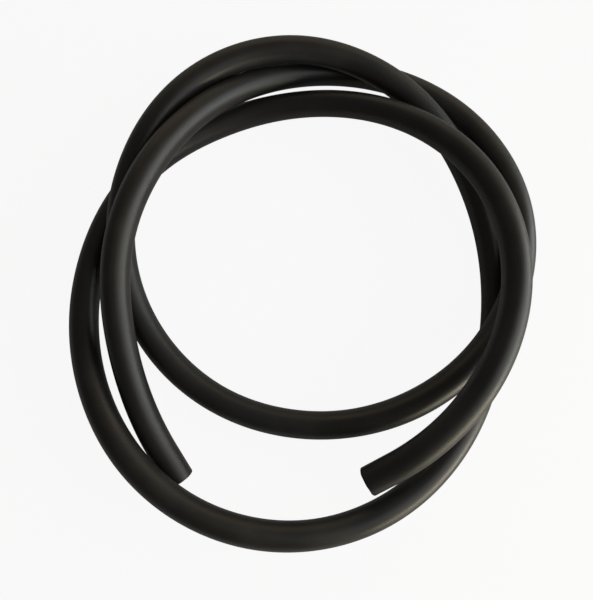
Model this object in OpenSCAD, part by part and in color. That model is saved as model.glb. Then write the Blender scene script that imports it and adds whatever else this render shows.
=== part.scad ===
// Soaker hose: one length of porous black rubber hose, resting in not quite three loose turns that
// cross over and under each other, with two bare ends cut square.
// Millimetres, +Z up. The origin is under the middle of the coil, on the ground that it rests on.

/* [Hose] */
// Outside diameter of the hose
hose_d = 16; // [12:0.5:18]
// Thickness of the porous wall
wall = 2.5; // [2:0.25:3]

/* [Coil] */
// Widest distance across the coil, outside to outside
coil_w = 295; // [250:5:400]
// Daylight between the hose and itself where it crosses on top
cross_gap = 0.8; // [0.8:0.1:2]

/* [Ends] */
// Depth of the true round bore at each end, which a hose barb goes into
seat_len = 15; // [10:1:18]

/* [Hidden] */

// The lay of the hose, one station every station_angle degrees, clockwise from its left end. Both
// numbers are in hose diameters: how far out the hose lies from the middle of its track, and how high
// it is stacked. A station guides the hose, which runs past it in a smooth curve. The first and the
// last station only set the way that the ends point.
station_angle = 30;
first_angle = 268;
station_shares = [
    [3.04, -0.64], [0.73, 0.15], [-0.83, 1.33], [-1.3, 2.09], [-1.36, 2.12], [-0.65, 1.39],
    [0.56, 0.28], [1.64, 0.02], [1.68, 0.53], [0.72, 1.06], [-0.46, 0.98], [-1.36, 0.44],
    [-1.89, 0.01], [-1.93, 0], [-1.67, 0.24], [-1.12, 0.75], [-0.36, 1.1], [0.64, 1.44],
    [0.99, 1.51], [0.67, 1.02], [0.12, 0.36], [0.03, 0], [0.55, 0], [1.55, 0.25],
    [1.97, 0.81], [1.63, 1.14], [0.77, 0.72], [0.08, 0.24], [-0.27, 0], [-0.86, 0],
    [-0.81, 0.34], [-0.49, 1.16], [-0.08, 1.94], [0, 2.42], [-0.03, 2.4], [0.24, 1.49],
    [0.61, 0.22], [1.1, -0.09]
];
// How far out the hose lies from the middle of its track where the coil is widest, in hose diameters
widest_share = 1.36;

// Where the curved part begins and ends, in degrees swept from the first station
from_angle = 33;
to_angle = 1054;

// Rings along one turn, and the sides of a ring outside and in the bore
rings_per_turn = 48;
outer_sides = 16;
bore_sides = 12;

// The ground presses the hose flat by this share of its diameter
foot_share = 0.1;
// How much wider the true bore at the ends is than the bore between them, in radius
seat_step = 0.15;
// How far that bore tapers in past its true depth, in depth and in radius
seat_taper = 0.5;
// How far the cutter of the true bore reaches out of the hose
cutter_out = 4;
// Points per ring spacing, and rings left out on each side, when the hose is measured against itself
gap_points = 4;
skip_count = 5;

hose_r = hose_d / 2;
bore_r = hose_r - wall;
floor_z = hose_r - foot_share * hose_d;
stack_z = hose_d + cross_gap;
track_r = (coil_w - hose_d) / 2 - widest_share * hose_d;

// Uniform cubic B-spline through four stations in a row, u from 0 to 1
function spline(a, b, c, d, u) =
    (a * pow(1 - u, 3) + b * (3 * pow(u, 3) - 6 * pow(u, 2) + 4)
        + c * (3 * u + 3 * pow(u, 2) - 3 * pow(u, 3) + 1) + d * pow(u, 3)) / 6;

// How far out and how high the hose lies at a sweep in degrees from the first station
function laid(sweep) =
    let (k = floor(sweep / station_angle), u = sweep / station_angle - k, at = station_shares)
    spline(at[k - 1], at[k], at[k + 1], at[k + 2], u);

// The same as a point in space
function centre(sweep) =
    let (at = laid(sweep), turn = first_angle - sweep, r = track_r + at[0] * hose_d)
    [r * cos(turn), r * sin(turn), floor_z + at[1] * stack_z];

function unit(v) = v / norm(v);

// The way the hose runs at a sweep, from a chord half a degree long
function heading(sweep) = unit(centre(sweep + 0.25) - centre(sweep - 0.25));

// The centre line: a straight end one diameter long, the turns, and the other straight end
ring_count = ceil((to_angle - from_angle) / 360 * rings_per_turn);
ring_angle = (to_angle - from_angle) / ring_count;
curve_angles = [for (i = [0:ring_count]) from_angle + i * ring_angle];
left_way = -heading(from_angle);
right_way = heading(to_angle);
loose_line = concat(
    [centre(from_angle) + hose_d * left_way],
    [for (s = curve_angles) centre(s)],
    [centre(to_angle) + hose_d * right_way]
);
loose_ways = concat([-left_way], [for (s = curve_angles) heading(s)], [right_way]);

// One ring of points square to the hose, pressed flat where it would go below the ground
function ring(at, way, r, sides) =
    let (side = unit(cross(way, [0, 0, 1])), up = cross(side, way))
    [
        for (i = [0:sides - 1])
            let (a = 360 * i / sides, p = at + r * (cos(a) * side + sin(a) * up))
            [p[0], p[1], max(p[2], 0)]
    ];

// The middle of the outside box in plan, which moves to the origin
loose_points = [
    for (i = [0:len(loose_line) - 1]) each ring(loose_line[i], loose_ways[i], hose_r, outer_sides)
];
loose_x = [for (p = loose_points) p[0]];
loose_y = [for (p = loose_points) p[1]];
middle = [(min(loose_x) + max(loose_x)) / 2, (min(loose_y) + max(loose_y)) / 2, 0];
line = [for (p = loose_line) p - middle];
last = len(line) - 1;

// Least distance between the hose's own strands, measured from points on one to chords of the other
function to_chord(p, a, b) =
    let (t = (p - a) * (b - a) / ((b - a) * (b - a)))
    norm(p - a - min(max(t, 0), 1) * (b - a));
least_gap = min([
    for (i = [0:last - 1 - skip_count])
        for (j = [i + skip_count:last - 1])
            for (k = [0:gap_points - 1])
                to_chord(line[i] + (line[i + 1] - line[i]) * k / gap_points, line[j], line[j + 1])
]) - hose_d;

// Length along the centre line
function run(i) = i == last ? 0 : norm(line[i + 1] - line[i]) + run(i + 1);

echo(least_gap = least_gap, length = run(0), width = max(loose_y) - min(loose_y));
echo(left_end = line[0], left_way = left_way, right_end = line[last], right_way = right_way);

// Two triangles for each side between one ring and the next; inward turns them round
function skin(first, sides, inward) = [
    for (i = [0:last - 1])
        for (j = [0:sides - 1])
            let (
                a = first + i * sides + j,
                b = first + i * sides + (j + 1) % sides,
                c = a + sides,
                d = b + sides
            )
            each inward ? [[a, c, b], [b, c, d]] : [[a, b, c], [b, d, c]]
];

// The cut face between an outer ring and a bore ring, as triangles that march round both; each bore
// point fans out to the outer points nearest to it
function cut_face(outer, bore, back) =
    let (
        tris = concat(
            [
                for (i = [0:outer_sides - 1])
                    [
                        outer + i,
                        outer + (i + 1) % outer_sides,
                        bore + round((i + 0.5) * bore_sides / outer_sides) % bore_sides
                    ]
            ],
            [
                for (j = [0:bore_sides - 1])
                    [
                        bore + (j + 1) % bore_sides,
                        bore + j,
                        outer + round((j + 0.5) * outer_sides / bore_sides) % outer_sides
                    ]
            ]
        )
    )
    [for (t = tris) back ? [t[2], t[1], t[0]] : t];

// The hose with its bore, as one unbroken tube
module tube() {
    outer = [for (i = [0:last]) each ring(line[i], loose_ways[i], hose_r, outer_sides)];
    bore = [for (i = [0:last]) each ring(line[i], loose_ways[i], bore_r - seat_step, bore_sides)];
    inside = len(outer);
    polyhedron(
        points = concat(outer, bore),
        faces = concat(
            skin(0, outer_sides, false),
            skin(inside, bore_sides, true),
            cut_face(0, inside, true),
            cut_face(last * outer_sides, inside + last * bore_sides, false)
        )
    );
}

// A cutter for the true round bore at one end, along the way out of it, with its tapered bottom. It is
// turned by half a side, so that its seam meets a flat of the bore between the ends, not an edge
module bore_cutter(mouth, way) {
    translate(mouth)
        rotate([0, acos(way[2]), atan2(way[1], way[0])])
            rotate([0, 0, 180 / bore_sides])
                rotate_extrude($fn = 64)
                    polygon([
                        [0, -seat_len - seat_taper],
                        [bore_r - seat_taper, -seat_len - seat_taper],
                        [bore_r, -seat_len],
                        [bore_r, cutter_out],
                        [0, cutter_out]
                    ]);
}

module soaker_hose() {
    color([0.09, 0.085, 0.08])
        difference() {
            tube();
            bore_cutter(line[0], left_way);
            bore_cutter(line[last], right_way);
        }
}

soaker_hose();
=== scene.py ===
"""The looks of a bare black rubber soaker hose that lies in loose turns on a pale floor.

The hose is one piece. Its skin, cut ends and bore are one closed surface, carried along the same
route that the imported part's solid follows, and finished as satin rubber with a fine grain.
Everything is in metres, +Z up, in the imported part's own frame.
"""

from __future__ import annotations

import logging
import math
from dataclasses import dataclass, field
from enum import Enum
from typing import Any, Sequence

import bpy
import numpy as np
from mathutils import Matrix, Vector

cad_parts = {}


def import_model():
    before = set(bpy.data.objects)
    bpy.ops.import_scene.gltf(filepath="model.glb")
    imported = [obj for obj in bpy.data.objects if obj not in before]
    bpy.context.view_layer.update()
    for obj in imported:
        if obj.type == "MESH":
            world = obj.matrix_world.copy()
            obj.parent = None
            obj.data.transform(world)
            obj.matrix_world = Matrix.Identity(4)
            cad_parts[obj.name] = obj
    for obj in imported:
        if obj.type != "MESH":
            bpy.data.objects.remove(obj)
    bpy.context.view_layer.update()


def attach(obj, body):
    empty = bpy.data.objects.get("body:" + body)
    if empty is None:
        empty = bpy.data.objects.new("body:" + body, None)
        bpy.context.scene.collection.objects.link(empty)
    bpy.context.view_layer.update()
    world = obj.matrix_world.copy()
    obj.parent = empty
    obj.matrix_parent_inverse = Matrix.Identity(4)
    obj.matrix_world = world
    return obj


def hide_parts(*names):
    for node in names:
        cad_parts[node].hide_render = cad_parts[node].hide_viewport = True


log = logging.getLogger("soaker_hose")

NODE = "soaker_hose"
SLOT = "porous_rubber"
UNBENT = "unbent"
MM = 0.001
HOSE_D = 16 * MM

Values = np.ndarray
Colour = tuple[float, float, float]
Range = tuple[float, float]
WHITE: Colour = (1.0, 1.0, 1.0)


class Region(Enum):
    """What isn't skin on the hose's surface, by the name of the attribute that marks it."""

    CUT = "cut_face"
    BORE = "bore_wall"


# ---------------------------------------------------------------------------- route of the hose


@dataclass(frozen=True)
class Lay:
    """How the hose lies: stations that guide it, in hose diameters, and the curve past them.

    A station is how far out the hose lies from the middle of its track, and how high it is
    stacked. There is one every station_angle degrees, clockwise from the left end, and they are
    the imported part's own. The solid keeps its turns about half a millimetre apart. Round
    touch_angle, where one turn rests against the next, lean moves it out and up, in hose diameters
    too, until next to no daylight shows between the two.
    """

    hose: float = HOSE_D
    coil_width: float = 295 * MM
    cross_gap: float = 0.8 * MM
    foot_share: float = 0.1
    widest_share: float = 1.36
    station_angle: float = 30.0
    first_angle: float = 268.0
    from_angle: float = 33.0
    to_angle: float = 1054.0
    stations: tuple[tuple[float, float], ...] = (
        (3.04, -0.64), (0.73, 0.15), (-0.83, 1.33), (-1.3, 2.09), (-1.36, 2.12), (-0.65, 1.39),
        (0.56, 0.28), (1.64, 0.02), (1.68, 0.53), (0.72, 1.06), (-0.46, 0.98), (-1.36, 0.44),
        (-1.89, 0.01), (-1.93, 0), (-1.67, 0.24), (-1.12, 0.75), (-0.36, 1.1), (0.64, 1.44),
        (0.99, 1.51), (0.67, 1.02), (0.12, 0.36), (0.03, 0), (0.55, 0), (1.55, 0.25),
        (1.97, 0.81), (1.63, 1.14), (0.77, 0.72), (0.08, 0.24), (-0.27, 0), (-0.86, 0),
        (-0.81, 0.34), (-0.49, 1.16), (-0.08, 1.94), (0, 2.42), (-0.03, 2.4), (0.24, 1.49),
        (0.61, 0.22), (1.1, -0.09),
    )  # fmt: skip
    touch_angle: float = 160.0
    touch_spread: float = 20.0
    lean: tuple[float, float] = (0.038, 0.016)

    def past_stations(self, sweep: Values) -> Values:
        """Out and up at each sweep: a uniform cubic B-spline through four stations in a row.

        The lean is added to it in a bell curve, exp(-x^2), where x is the sweep from touch_angle
        over touch_spread.

        Args:
            sweep: degrees swept clockwise from the first station.

        Returns:
            One row per sweep, in hose diameters.
        """
        t = sweep / self.station_angle
        first = np.floor(t).astype(int)
        u = t - first
        weights = np.stack(
            [(1 - u) ** 3, 3 * u**3 - 6 * u**2 + 4, 3 * u + 3 * u**2 - 3 * u**3 + 1, u**3], axis=1
        )
        guides = np.array(self.stations)[first[:, None] + np.arange(-1, 3)]
        bell = np.exp(-(((sweep - self.touch_angle) / self.touch_spread) ** 2))
        return (weights[:, :, None] * guides).sum(axis=1) / 6 + bell[:, None] * np.array(self.lean)

    def curve(self, sweep: Values) -> Values:
        """Points of the hose's centre at each sweep, turned about the middle of its track.

        Args:
            sweep: degrees swept clockwise from the first station.

        Returns:
            One point per sweep, before the coil's outline is centred.
        """
        out, up = self.past_stations(sweep).T
        angle = np.radians(self.first_angle - sweep)
        track = (self.coil_width - self.hose) / 2 - self.widest_share * self.hose
        radius = track + out * self.hose
        ground = self.hose / 2 - self.foot_share * self.hose
        height = ground + up * (self.hose + self.cross_gap)
        return np.stack([radius * np.cos(angle), radius * np.sin(angle), height], axis=1)


class Route:
    """The hose's centre line by length: a straight end, the turns and the other straight end."""

    CURVE_POINTS = 6001
    STRAIGHT_POINTS = 64

    def __init__(self, lay: Lay) -> None:
        """Lays the centre line and centres its outline over the origin.

        Args:
            lay: how the hose lies.
        """
        sweep = np.linspace(lay.from_angle, lay.to_angle, self.CURVE_POINTS)
        turns = lay.curve(sweep)
        back = self._unit(turns[:1] - turns[1:2])
        ahead = self._unit(turns[-1:] - turns[-2:-1])
        step = np.linspace(0, lay.hose, self.STRAIGHT_POINTS)[1:, None]
        points = np.concatenate([turns[0] + back * step[::-1], turns, turns[-1] + ahead * step])
        ways = self._unit(np.gradient(points, axis=0))
        # a disc square to the way reaches out by its radius times the sine of its slant to the axis
        reach = lay.hose / 2 * np.sqrt(1 - ways[:, :2] ** 2)
        low, high = (points[:, :2] - reach).min(axis=0), (points[:, :2] + reach).max(axis=0)
        points[:, :2] -= (low + high) / 2
        self.points = points
        self.ways = ways
        steps = np.linalg.norm(np.diff(points, axis=0), axis=1)
        self.run = np.concatenate([[0.0], np.cumsum(steps)])
        self.length = float(self.run[-1])

    @staticmethod
    def _unit(rows: Values) -> Values:
        """Each row at length one."""
        return rows / np.linalg.norm(rows, axis=-1, keepdims=True)

    def _along(self, table: Values, s: Values) -> Values:
        """The rows of a table at distances along the line."""
        return np.stack([np.interp(s, self.run, column) for column in table.T], axis=1)

    def centre(self, s: Values) -> Values:
        """Points of the centre line at distances s from the left mouth."""
        return self._along(self.points, s)

    def across(self, s: Values) -> tuple[Values, Values]:
        """Two directions square to the hose at distances s: level to its side, and up.

        Args:
            s: distances from the left mouth.

        Returns:
            The sideways and the upward directions, one row per distance.
        """
        way = self._unit(self._along(self.ways, s))
        side = self._unit(np.cross(way, np.array([0.0, 0.0, 1.0])))
        return side, np.cross(side, way)


# ---------------------------------------------------------------------------- nodes of a material


class Wire:
    """A number on a node's socket. Python's operators on it add Math nodes."""

    def __init__(self, bench: Bench, socket: bpy.types.NodeSocket) -> None:
        """Wraps one output socket of a node on the bench."""
        self.bench = bench
        self.socket = socket

    def _math(self, operation: str, *values: Wire | float) -> Wire:
        """The result of one Math node."""
        return self.bench.out("ShaderNodeMath", {"operation": operation}, *values)

    def __add__(self, other: Wire | float) -> Wire:
        """The sum."""
        return self._math("ADD", self, other)

    __radd__ = __add__

    def __sub__(self, other: Wire | float) -> Wire:
        """The difference."""
        return self._math("SUBTRACT", self, other)

    def __rsub__(self, other: float) -> Wire:
        """A number less this one."""
        return self._math("SUBTRACT", other, self)

    def __mul__(self, other: Wire | float) -> Wire:
        """The product."""
        return self._math("MULTIPLY", self, other)

    __rmul__ = __mul__

    def larger(self, other: Wire | float) -> Wire:
        """The larger of this and another number."""
        return self._math("MAXIMUM", self, other)

    def step(self, low: float, high: float) -> Wire:
        """A smooth rise from 0 at low to 1 at high; high may be below low, for a fall."""
        settings = {"interpolation_type": "SMOOTHSTEP"}
        return self.bench.out("ShaderNodeMapRange", settings, self, low, high, 0.0, 1.0)

    def spread(self, low: float, high: float) -> Wire:
        """This number, from 0 to 1, carried over to low at 0 and high at 1."""
        return self * (high - low) + low


class Bench:
    """The node tree of one material or of the world, with one way to make a node."""

    def __init__(self, tree: bpy.types.NodeTree) -> None:
        """Clears the tree, to build on it afresh."""
        self.tree = tree
        tree.nodes.clear()

    def node(
        self,
        kind: str,
        settings: dict[str, Any] | None = None,
        *values: Any,
        **named: Any,
    ) -> bpy.types.Node:
        """Makes a node.

        Args:
            kind: the node's type.
            settings: attributes of the node, set before its sockets.
            values: numbers, colours or wires for its first sockets, in order.
            named: the same for sockets by name, with _ for a space.

        Returns:
            The node.
        """
        made = self.tree.nodes.new(kind)
        for name, value in (settings or {}).items():
            setattr(made, name, value)
        open_sockets = [s for s in made.inputs if s.enabled]
        pairs = list(zip(open_sockets, values))
        pairs += [(made.inputs[name.replace("_", " ")], value) for name, value in named.items()]
        for socket, value in pairs:
            if isinstance(value, Wire):
                self.tree.links.new(value.socket, socket)
            elif isinstance(value, bpy.types.NodeSocket):
                self.tree.links.new(value, socket)
            else:
                socket.default_value = value
        return made

    def out(self, kind: str, settings: dict[str, Any] | None = None, *values: Any) -> Wire:
        """Makes a node and gives its first output in use."""
        made = self.node(kind, settings, *values)
        return Wire(self, next(s for s in made.outputs if s.enabled))

    def colour_mix(self, share: Wire, one: Any, other: Any) -> Wire:
        """One colour going over to another as share goes from 0 to 1."""
        return self.out("ShaderNodeMix", {"data_type": "RGBA"}, share, one, other)


def rgba(colour: Colour) -> tuple[float, float, float, float]:
    """A colour with full alpha, as sockets take it."""
    return (*colour, 1.0)


@dataclass(frozen=True)
class Clouds:
    """A cloudy pattern about 0.5, whose blotches are 1 / scale metres wide.

    On them lie finer layers, as many as detail, each as strong as the last one times roughness.
    Where along is less than one, the blotches are 1 / along times as long as they are wide.
    """

    scale: float
    detail: float
    roughness: float = 0.5
    along: float = 1.0

    def on(self, bench: Bench, place: bpy.types.NodeSocket) -> Wire:
        """Makes the pattern.

        Args:
            bench: where its nodes are made.
            place: the point that it is asked for, whose third number runs along the hose.

        Returns:
            The pattern's value at that point.
        """
        if self.along != 1.0:
            factors = (1.0, 1.0, self.along)
            drawn_out = bench.node("ShaderNodeMapping", Vector=place, Scale=factors)
            place = drawn_out.outputs["Vector"]
        made = bench.node(
            "ShaderNodeTexNoise",
            Vector=place,
            Scale=self.scale,
            Detail=self.detail,
            Roughness=self.roughness,
        )
        return Wire(bench, made.outputs["Fac"])


@dataclass(frozen=True)
class Dots:
    """Round dots, one in each cell 1 / scale metres wide; full and gone are shares of a cell."""

    scale: float
    full: float
    gone: float

    def on(self, bench: Bench, place: bpy.types.NodeSocket) -> Wire:
        """Makes the pattern.

        Args:
            bench: where its nodes are made.
            place: the point that it is asked for.

        Returns:
            1 within full of a dot's middle, falling smoothly to 0 at gone.
        """
        cells = bench.node("ShaderNodeTexVoronoi", Vector=place, Scale=self.scale)
        return Wire(bench, cells.outputs["Distance"]).step(self.gone, self.full)


# ---------------------------------------------------------------------------- finishes


@dataclass(frozen=True)
class PorousRubber:
    """Black rubber with a satin skin: fine grain, pinholes with painted shade in them, draw lines
    and a dusty bloom.

    A range is the two values of a pattern between which its mask rises from 0 to 1. A share is how
    much of a colour shows at the most, and streaks is how much of the bloom stays between the draw
    lines and on them. The skin's roughness lies within satin, where blotches, draw lines and crumbs
    move it by satin_weights, and torn rubber and the bore are matt. A relief is a pattern's height
    in the bump, as a share of bump_height; crumb_relief is that of the skin and of a cut face.
    """

    brown_black: Colour = (0.0178, 0.0143, 0.0124)
    blue_black: Colour = (0.0126, 0.0142, 0.0142)
    bloom: Colour = (0.0270, 0.0240, 0.0200)
    fleck: Colour = (0.12, 0.115, 0.105)
    torn: Colour = (0.016, 0.015, 0.0145)
    # painted shade: the near-black colour laid into the pinholes stands for the shade inside the
    # pores
    pit_shade: Colour = (0.003, 0.003, 0.003)

    grain: Clouds = Clouds(2600, 3.0, 0.62)
    crumb: Clouds = Clouds(620, 4.0, 0.6)
    blotch: Clouds = Clouds(24, 3.0, 0.55)
    tone: Clouds = Clouds(30, 2.0, along=0.4)
    draw_lines: Clouds = Clouds(900, 3.0, 0.55, along=0.02)
    # the pinhole dots give both a real dent in the bump and the painted shade in the pores
    pinhole_dents_and_shade: Dots = Dots(640, 0.06, 0.17)
    flecks: Dots = Dots(150, 0.02, 0.035)

    tone_range: Range = (0.38, 0.62)
    bloom_range: Range = (0.42, 0.68)
    torn_range: Range = (0.3, 0.7)
    streaks: Range = (0.55, 1.0)
    fleck_share: float = 0.7
    # how much of the painted pore shade shows at a pinhole's middle
    pit_shade_share: float = 0.55

    satin: Range = (0.36, 0.50)
    satin_range: Range = (0.3, 0.7)
    satin_weights: tuple[float, float, float] = (0.5, 0.3, 0.2)
    matt: float = 0.78
    specular: float = 0.5
    refraction: float = 1.5

    grain_relief: float = 0.35
    draw_relief: float = 0.25
    crumb_relief: Range = (0.3, 1.9)
    pinhole_relief: float = 0.8
    bump_height: float = 0.12 * MM
    bump_strength: float = 0.35

    def material(self) -> bpy.types.Material:
        """Builds the material, whose patterns follow the hose as if it were straight.

        Returns:
            The material, under the name of the record's slot.
        """
        made = bpy.data.materials.new(SLOT)
        made.use_nodes = True
        bench = Bench(made.node_tree)
        place = bench.node("ShaderNodeAttribute", {"attribute_name": UNBENT}).outputs["Vector"]
        cut, inner = (self._mark(bench, region) for region in Region)
        skin = (1 - cut) * (1 - inner)
        grain, crumb, blotch, tone, drawn = (
            clouds.on(bench, place)
            for clouds in (self.grain, self.crumb, self.blotch, self.tone, self.draw_lines)
        )
        # pinhole mask: a real dent in the bump, and painted shade in the colour
        pinhole_dent_and_shade, fleck = (dots.on(bench, place) for dots in (self.pinhole_dents_and_shade, self.flecks))

        dusty = blotch.step(*self.bloom_range) * drawn.spread(*self.streaks) * skin
        crumbly = cut * crumb.step(*self.torn_range)
        blacks = rgba(self.brown_black), rgba(self.blue_black)
        colour = bench.colour_mix(tone.step(*self.tone_range), *blacks)
        colour = bench.colour_mix(dusty, colour, rgba(self.bloom))
        colour = bench.colour_mix(crumbly, colour, rgba(self.torn))
        colour = bench.colour_mix(fleck * skin * self.fleck_share, colour, rgba(self.fleck))
        # painted shade: the pinholes darkened towards near black, for the shade in the pores
        colour = bench.colour_mix(pinhole_dent_and_shade * self.pit_shade_share, colour, rgba(self.pit_shade))

        by_blotch, by_line, by_crumb = self.satin_weights
        shine = (blotch * by_blotch + drawn * by_line + crumb * by_crumb).step(*self.satin_range)
        roughness = shine.spread(*self.satin) * skin + (1 - skin) * self.matt

        relief = grain * self.grain_relief + drawn * self.draw_relief
        relief = relief + crumb * cut.spread(*self.crumb_relief) - pinhole_dent_and_shade * self.pinhole_relief
        bump = bench.node(
            "ShaderNodeBump",
            Strength=self.bump_strength,
            Distance=self.bump_height,
            Height=relief,
        )
        surface = bench.node(
            "ShaderNodeBsdfPrincipled",
            Base_Color=colour,
            Roughness=roughness,
            IOR=self.refraction,
            Specular_IOR_Level=self.specular,
            Normal=bump.outputs["Normal"],
        )
        bench.node("ShaderNodeOutputMaterial", None, surface.outputs["BSDF"])
        return made

    @staticmethod
    def _mark(bench: Bench, region: Region) -> Wire:
        """How much a point belongs to a region, from 0 to 1."""
        made = bench.node("ShaderNodeAttribute", {"attribute_name": region.value})
        return Wire(bench, made.outputs["Fac"])


@dataclass(frozen=True)
class PaleFloor:
    """A white floor that keeps a little of the hose's shadow.

    glow_share is how much of it shows as plain white, whatever lights it, and reflected_share is
    how much of that shows in reflections.
    """

    paint: Colour = (0.80, 0.80, 0.80)
    glow_share: float = 0.92
    reflected_share: float = 0.08

    def material(self) -> bpy.types.Material:
        """Builds the paint, with its plain white mixed in.

        Returns:
            The floor's material.
        """
        made = bpy.data.materials.new("floor_paint")
        made.use_nodes = True
        bench = Bench(made.node_tree)
        seen = seen_share(bench, self.reflected_share)
        paint = bench.node("ShaderNodeBsdfDiffuse", Color=rgba(self.paint)).outputs["BSDF"]
        glow = bench.node("ShaderNodeEmission", None, rgba(WHITE), 1.0).outputs["Emission"]
        both = bench.node("ShaderNodeMixShader", None, seen * self.glow_share, paint, glow)
        bench.node("ShaderNodeOutputMaterial", None, both.outputs["Shader"])
        return made


def seen_share(bench: Bench, reflected: float) -> Wire:
    """How much of the plain background a ray meets: all of it from the camera, none as light.

    Args:
        bench: where the nodes are made.
        reflected: how much of it shows in reflections.

    Returns:
        The largest of the rays' marks.
    """
    path = bench.node("ShaderNodeLightPath")
    straight = Wire(bench, path.outputs["Is Camera Ray"])
    through = Wire(bench, path.outputs["Is Transmission Ray"])
    glossy = Wire(bench, path.outputs["Is Glossy Ray"])
    return straight.larger(through).larger(glossy * reflected)


# ---------------------------------------------------------------------------- the hose


@dataclass(frozen=True)
class Wave:
    """A shallow wave in the wall.

    Its phase is the distance along the hose over length, plus the angle round it times count, plus
    start.
    """

    height: float
    length: float
    count: int = 0
    start: float = 0.0

    def at(self, run: Values, turn: Values) -> Values:
        """The height times the sine of the phase, at distances run and angles turn."""
        return self.height * np.sin(run / self.length + self.count * turn + self.start)


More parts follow.
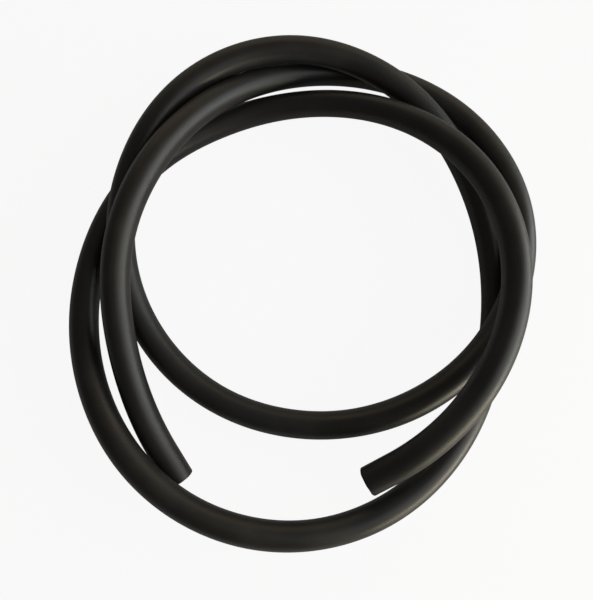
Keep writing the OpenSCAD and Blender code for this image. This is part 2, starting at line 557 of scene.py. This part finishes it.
@dataclass
class Hose:
    """One length of hose: its wall as a closed surface along a route, and its finish.

    edge and bore_edge are the radii of a mouth's rounded edges, outside and in the bore. The waver
    is in the radius. The tears are in the cut faces: tear goes round one, differently at each end,
    and tear_outward across it. soft_foot is how gently the skin bends into the strip that the floor
    presses flat. The steps are between the rings of the skin and of the bore, and between the
    points of the path that declare works out.
    """

    diameter: float = HOSE_D
    wall: float = 2.5 * MM
    edge: float = 0.8 * MM
    bore_edge: float = 0.4 * MM
    soft_foot: float = 0.3 * MM
    waver: tuple[Wave, ...] = (
        Wave(0.045 * MM, 31 * MM, start=1.3),
        Wave(0.035 * MM, 12.1 * MM, 2),
        Wave(0.030 * MM, 70 * MM, 3),
    )
    tear: Wave = Wave(0.10 * MM, 20 * MM, 3, 0.7)
    tear_outward: Wave = Wave(0.06 * MM, 0.6 * MM, 7)
    ring_step: float = 2.45 * MM
    bore_step: float = 9.0 * MM
    path_step: float = 7.0 * MM
    sides: int = 72
    edge_rings: int = 5
    face_rings: int = 6
    lay: Lay = field(default_factory=Lay)
    finish: PorousRubber = field(default_factory=PorousRubber)
    route: Route = field(init=False)

    def __post_init__(self) -> None:
        """Lays the route that the wall follows."""
        self.route = Route(self.lay)

    def wall_profile(self) -> tuple[Values, Values, Values, Values]:
        """The wall's outline in one half plane: along the skin, over an end, back along the bore.

        The line goes out at the outer radius, turns in over the right mouth with a small rounded
        edge, crosses the cut face, runs back at the bore's radius and closes over the left mouth.

        Returns:
            Distance along the hose, radius, and how much each ring is cut face and bore.
        """
        outer, bore, end = self.diameter / 2, self.diameter / 2 - self.wall, self.route.length
        turn = np.linspace(0, np.pi / 2, self.edge_rings + 1)
        face = np.linspace(outer - self.edge, bore + self.bore_edge, self.face_rings + 2)[1:-1]
        # over one mouth: depth below the cut and radius, from the skin's last ring to the bore's
        depth = np.concatenate(
            [self.edge * (1 - np.sin(turn)), 0 * face, self.bore_edge * (1 - np.cos(turn))]
        )
        radius = np.concatenate(
            [
                outer - self.edge * (1 - np.cos(turn)),
                face,
                bore + self.bore_edge * (1 - np.sin(turn)),
            ]
        )
        over = np.concatenate([np.sin(turn), np.ones_like(face), np.cos(turn)])
        inner = np.concatenate([0 * turn, 0 * face, np.sin(turn)])
        skin = np.linspace(self.edge, end - self.edge, self._rings(self.ring_step))[1:-1]
        back = np.linspace(end - self.bore_edge, self.bore_edge, self._rings(self.bore_step))[1:-1]
        s = np.concatenate([skin, end - depth, back, depth[::-1]])
        r = np.concatenate([0 * skin + outer, radius, 0 * back + bore, radius[::-1]])
        cut = np.concatenate([0 * skin, over, 0 * back, over[::-1]])
        within = np.concatenate([0 * skin, inner, 0 * back + 1, inner[::-1]])
        return s, r, cut, within

    def _rings(self, step: float) -> int:
        """How many rings a step apart the hose's length takes."""
        return int(self.route.length / step) + 1

    def surface(self) -> tuple[Values, Values, Values]:
        """The whole wall on a grid of rings and sides.

        A point is the route's centre at its distance, moved by its radius times the cosine of its
        angle to the side and by its radius times the sine of it up. The waver is added to the
        radius outside the bore, and the tears move a cut face in or out of its end. The floor
        presses flat what would go below it: a height z becomes (z + sqrt(z^2 + soft_foot^2)) / 2.

        Returns:
            Points, the same points on the hose pulled straight, and each ring's marks, one row for
            each region.
        """
        s, r, cut, within = self.wall_profile()
        angle = np.linspace(0, 2 * np.pi, self.sides, endpoint=False)
        run, turn = s[:, None], angle[None, :]
        waver = sum(wave.at(run, turn) for wave in self.waver)
        radius = r[:, None] + waver * (1 - within[:, None])
        ragged = self.tear.at(run, turn) + self.tear_outward.at(radius, turn)
        end = np.sign(run - self.route.length / 2)
        centre = self.route.centre(s)
        side, up = self.route.across(s)
        way = np.cross(up, side)
        points = centre[:, None, :] + radius[..., None] * (
            np.cos(turn)[..., None] * side[:, None, :] + np.sin(turn)[..., None] * up[:, None, :]
        )
        points -= (ragged * cut[:, None] * end)[..., None] * way[:, None, :]
        height = points[..., 2]
        points[..., 2] = (height + np.sqrt(height**2 + self.soft_foot**2)) / 2
        unbent = np.stack([radius * np.cos(turn), radius * np.sin(turn), run + 0 * turn], axis=-1)
        return points, unbent, np.stack([cut, within])

    def build(self) -> bpy.types.Object:
        """Makes the hose and dresses it.

        Returns:
            The hose's object, at the origin, with its place in its mesh.
        """
        points, unbent, marks = self.surface()
        rings, sides = points.shape[:2]
        index = np.arange(rings * sides).reshape(rings, sides)
        ahead, beside = np.roll(index, -1, axis=0), np.roll(index, -1, axis=1)
        corner = np.roll(ahead, -1, axis=1)
        quads = np.stack([index, ahead, corner, beside], axis=-1).reshape(-1, 4)
        mesh = bpy.data.meshes.new(NODE + "_wall")
        mesh.vertices.add(rings * sides)
        mesh.vertices.foreach_set("co", points.ravel())
        mesh.loops.add(quads.size)
        mesh.loops.foreach_set("vertex_index", quads.ravel())
        mesh.polygons.add(len(quads))
        mesh.polygons.foreach_set("loop_start", np.arange(0, quads.size, 4))
        mesh.polygons.foreach_set("use_smooth", np.ones(len(quads), dtype=bool))
        mesh.update(calc_edges=True)
        straight = mesh.attributes.new(UNBENT, "FLOAT_VECTOR", "POINT")
        straight.data.foreach_set("vector", unbent.ravel())
        for region, mark in zip(Region, marks):
            layer = mesh.attributes.new(region.value, "FLOAT", "POINT")
            layer.data.foreach_set("value", np.repeat(mark, sides))
        mesh.validate()
        mesh.materials.append(self.finish.material())
        made = bpy.data.objects.new("hose", mesh)
        bpy.context.collection.objects.link(made)
        return made

    def declare(self, made: bpy.types.Object) -> None:
        """Attaches the hose to the root body and hides the imported part; the path along it is
        worked out but not passed on.

        Args:
            made: the hose's object.
        """
        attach(made, "root")
        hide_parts(NODE)
        count = self._rings(self.path_step)
        path = self.route.centre(np.linspace(0, self.route.length, count))


# ---------------------------------------------------------------------------- camera and studio


@dataclass(frozen=True)
class Viewpoint:
    """The camera: above the coil, a little to its front, tilted back to face it.

    pitch and roll are in radians, and lens and frame_height in millimetres of film.
    """

    place: tuple[float, float, float] = (-0.01976, -0.07261, 0.34467)
    pitch: float = 0.1853
    roll: float = -0.0406
    lens: float = 34.73
    frame_height: float = 36.0
    nearest: float = 10 * MM
    farthest: float = 50.0

    def set_up(self) -> None:
        """Makes the camera and gives it to the scene."""
        data = bpy.data.cameras.new("camera")
        data.sensor_fit = "VERTICAL"
        data.sensor_height = self.frame_height
        data.lens = self.lens
        data.clip_start, data.clip_end = self.nearest, self.farthest
        made = bpy.data.objects.new("camera", data)
        turned = Matrix.Rotation(self.pitch, 4, "X") @ Matrix.Rotation(self.roll, 4, "Y")
        made.matrix_world = Matrix.Translation(self.place) @ turned
        bpy.context.collection.objects.link(made)
        bpy.context.scene.camera = made


@dataclass(frozen=True)
class Lamp:
    """One soft lamp: where it hangs over the coil, how large it is and how bright its face is.

    azimuth is counted in degrees from +X, anticlockwise, and elevation from the floor.
    """

    name: str
    azimuth: float
    elevation: float
    width: float
    height: float
    radiance: float
    colour: Colour
    distance: float = 1.6

    def hang(self) -> None:
        """Makes the lamp, facing the coil's middle. A face takes pi times radiance times area."""
        data = bpy.data.lights.new(self.name, "AREA")
        data.shape = "RECTANGLE"
        data.size, data.size_y = self.width, self.height
        data.energy = self.radiance * math.pi * self.width * self.height
        data.color = self.colour
        turn, rise = math.radians(self.azimuth), math.radians(self.elevation)
        away = Vector(
            (math.cos(rise) * math.cos(turn), math.cos(rise) * math.sin(turn), math.sin(rise))
        )
        made = bpy.data.objects.new(self.name, data)
        made.location = away * self.distance
        made.rotation_euler = away.to_track_quat("Z", "Y").to_euler()
        bpy.context.collection.objects.link(made)


@dataclass(frozen=True)
class Studio:
    """The floor, the room's dim light and the lamps."""

    floor_size: float = 8.0
    room: Colour = (1.0, 0.98, 0.96)
    room_level: float = 0.07
    room_reflected: float = 0.02
    lamps: tuple[Lamp, ...] = (
        Lamp("low_window", -38.0, 8.0, 0.80, 0.42, 7.0, (1.0, 0.93, 0.80)),
        Lamp("long_window", 3.0, 8.0, 1.60, 0.42, 4.7, (0.96, 1.0, 0.97)),
        Lamp("high_window", -1.0, 29.0, 1.60, 0.78, 2.4, (0.92, 0.99, 1.0)),
        Lamp("near_lamp", -44.0, 10.0, 0.30, 0.15, 3.6, (1.0, 0.90, 0.60), 0.48),
        Lamp("skylight", -15.0, 55.0, 1.16, 0.56, 1.2, (1.0, 0.96, 0.94)),
        Lamp("far_window", 76.0, 28.0, 3.6, 1.05, 0.56, (1.0, 0.85, 0.58)),
    )

    def set_up(self) -> None:
        """Lays the floor, lights the room and hangs the lamps."""
        half = self.floor_size / 2
        mesh = bpy.data.meshes.new("floor")
        corners = [(-half, -half, 0), (half, -half, 0), (half, half, 0), (-half, half, 0)]
        mesh.from_pydata(corners, [], [(0, 1, 2, 3)])
        mesh.materials.append(PaleFloor().material())
        floor = bpy.data.objects.new("floor", mesh)
        bpy.context.collection.objects.link(floor)
        self._room()
        for lamp in self.lamps:
            lamp.hang()
            log.info("lamp %s", lamp.name)

    def _room(self) -> None:
        """A dim room around the hose, which shows as plain white behind it."""
        world = bpy.data.worlds.new("room")
        world.use_nodes = True
        bench = Bench(world.node_tree)
        dim = bench.node("ShaderNodeBackground", None, rgba(self.room), self.room_level)
        white = bench.node("ShaderNodeBackground", None, rgba(WHITE), 1.0)
        both = bench.node(
            "ShaderNodeMixShader",
            None,
            seen_share(bench, self.room_reflected),
            dim.outputs["Background"],
            white.outputs["Background"],
        )
        bench.node("ShaderNodeOutputWorld", None, both.outputs["Shader"])
        bpy.context.scene.world = world


def main() -> None:
    """Builds the camera, the hose and the studio, in that order."""
    logging.basicConfig(level=logging.INFO, format="%(name)s: %(message)s")
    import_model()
    Viewpoint().set_up()
    hose = Hose()
    piece = hose.build()
    hose.declare(piece)
    log.info("%s: %.3f m long, %d faces", piece.name, hose.route.length, len(piece.data.polygons))
    Studio().set_up()
    bpy.context.scene.view_settings.view_transform = "Standard"


if __name__ == "__main__":
    main()
